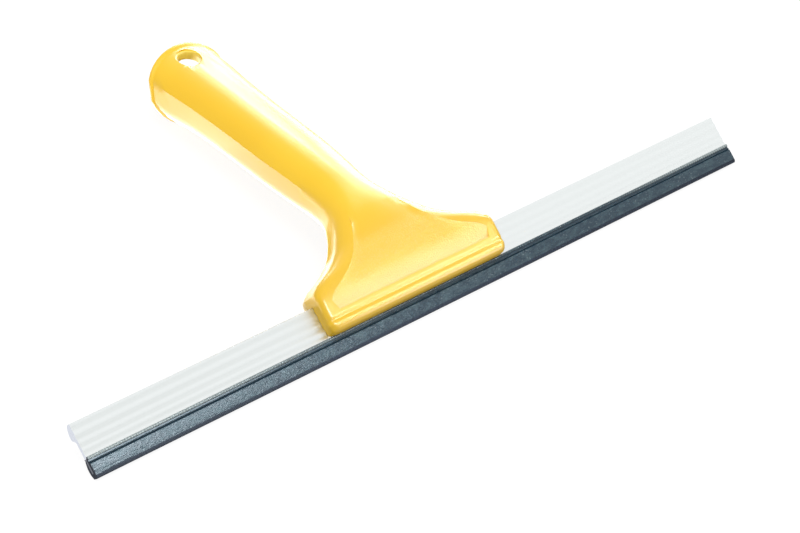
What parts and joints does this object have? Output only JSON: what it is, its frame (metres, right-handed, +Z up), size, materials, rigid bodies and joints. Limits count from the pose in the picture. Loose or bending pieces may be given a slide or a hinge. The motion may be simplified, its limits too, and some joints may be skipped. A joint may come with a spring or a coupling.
{
  "type": "window squeegee",
  "caption": "Hand window squeegee: a moulded handle with a hang hole clamps a fluted aluminium blade that carries a rubber strip.",
  "frame": {"origin": "on the table under the middle of the footprint, with the squeegee lying front face up", "axes": "+X along the blade, +Y from the rubber's edge towards the grip's end, +Z up"},
  "size_m": [0.35, 0.1684, 0.0314],
  "materials": {
    "handle_plastic": "glossy moulded yellow, fine grain on the head's sunken panel",
    "blade_aluminium": "satin, with fine lengthwise die lines",
    "blade_rubber": "smooth dark slate, slightly pebbled",
    "screw_steel": "zinc plated"
  },
  "bodies": {
    "handle": {"handle_body": "handle_plastic", "rear_clamp": "handle_plastic", "screw_left": "screw_steel", "screw_right": "screw_steel", "screw_neck": "screw_steel"},
    "blade": {"blade_profile": "blade_aluminium"},
    "rubber": {"rubber_strip": "blade_rubber"}
  },
  "joints": [
    {"name": "blade_slide", "type": "slide", "parent": "handle", "child": "blade", "axis": [1, 0, 0], "range_m": [-0.11, 0.11]},
    {"name": "rubber_slide", "type": "slide", "parent": "blade", "child": "rubber", "axis": [1, 0, 0], "range_m": [0, 0.35]}
  ]
}
